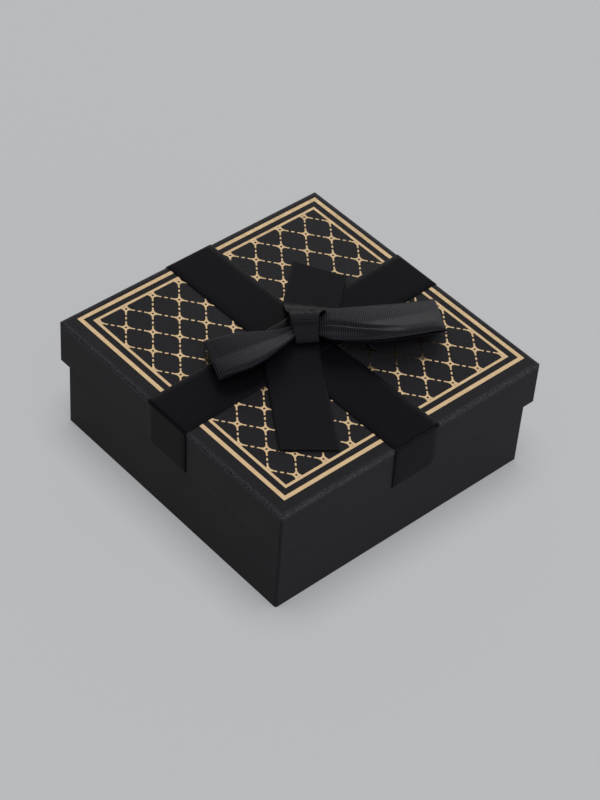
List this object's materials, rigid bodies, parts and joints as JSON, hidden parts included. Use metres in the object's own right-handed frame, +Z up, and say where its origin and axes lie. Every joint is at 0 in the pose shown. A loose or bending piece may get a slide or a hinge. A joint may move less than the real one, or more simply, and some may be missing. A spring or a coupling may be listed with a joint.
{
  "type": "gift box",
  "caption": "Square rigid gift box with a lift-off lid, gold lattice print, and black ribbon bands with a flat bow glued where they cross.",
  "frame": {"origin": "centre of the box's underside", "axes": "+Z up; the ribbon bands run along X and Y; the bow's long loop points towards +X +Y"},
  "size_m": [0.1508, 0.1508, 0.0704],
  "materials": {
    "greyboard": "plain grey board",
    "wrap_paper": "embossed black paper, satin",
    "lining_paper": "plain black paper, matt",
    "paper_tape": "kraft paper tape",
    "gold_foil": "hot-stamped gold foil",
    "ribbon": "ribbed grosgrain, slight sheen",
    "glue": "clear hot-melt glue"
  },
  "bodies": {
    "base": {"base_bottom_sheet": "wrap_paper", "base_board": "greyboard", "base_corner_stays": "paper_tape", "base_wrap": "wrap_paper", "base_liner": "lining_paper"},
    "lid": {"lid_board": "greyboard", "lid_corner_stays": "paper_tape", "lid_wrap": "wrap_paper", "lid_liner": "lining_paper", "foil_border_outer": "gold_foil", "foil_border_inner": "gold_foil", "foil_lattice": "gold_foil", "ribbon_band_x": "ribbon", "ribbon_band_y": "ribbon", "ribbon_end_glue": "glue", "bow_loop_left": "ribbon", "bow_loop_right": "ribbon", "bow_knot": "ribbon", "bow_tail_front": "ribbon", "bow_tail_back": "ribbon", "bow_glue": "glue"}
  },
  "joints": [
    {"name": "lid_lift", "type": "slide", "parent": "base", "child": "lid", "axis": [0, 0, 1], "range_m": [0, 0.07]}
  ]
}
